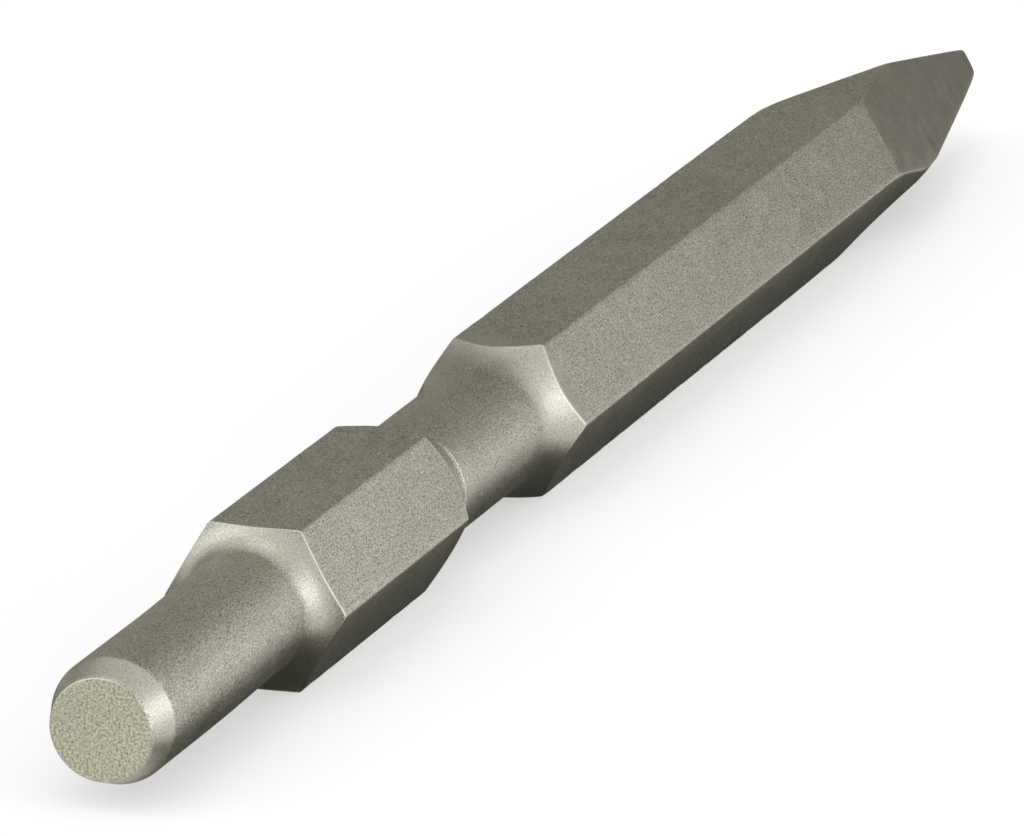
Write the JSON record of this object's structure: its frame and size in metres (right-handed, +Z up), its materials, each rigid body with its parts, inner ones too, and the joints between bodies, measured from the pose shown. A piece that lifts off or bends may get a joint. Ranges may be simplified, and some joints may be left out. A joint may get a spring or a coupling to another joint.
{
  "type": "point chisel bit",
  "caption": "Solid steel chisel bit with a hexagonal shank and body, a round pilot and neck for a breaker's tool holder, and a ground square point.",
  "frame": {"origin": "centre of the flat striking face, on the tool's axis", "axes": "+X along the axis from the striking face to the point, +Z up with the bit lying on one flat of its hexagon, whose face is 8.5 mm below the axis, +Y across"},
  "size_m": [0.28, 0.0194, 0.017],
  "materials": {
    "steel": "fine shot-blasted tool steel, satin, with smoother ground facets at the point"
  },
  "bodies": {
    "root": {"chisel_bit": "steel"}
  },
  "joints": []
}
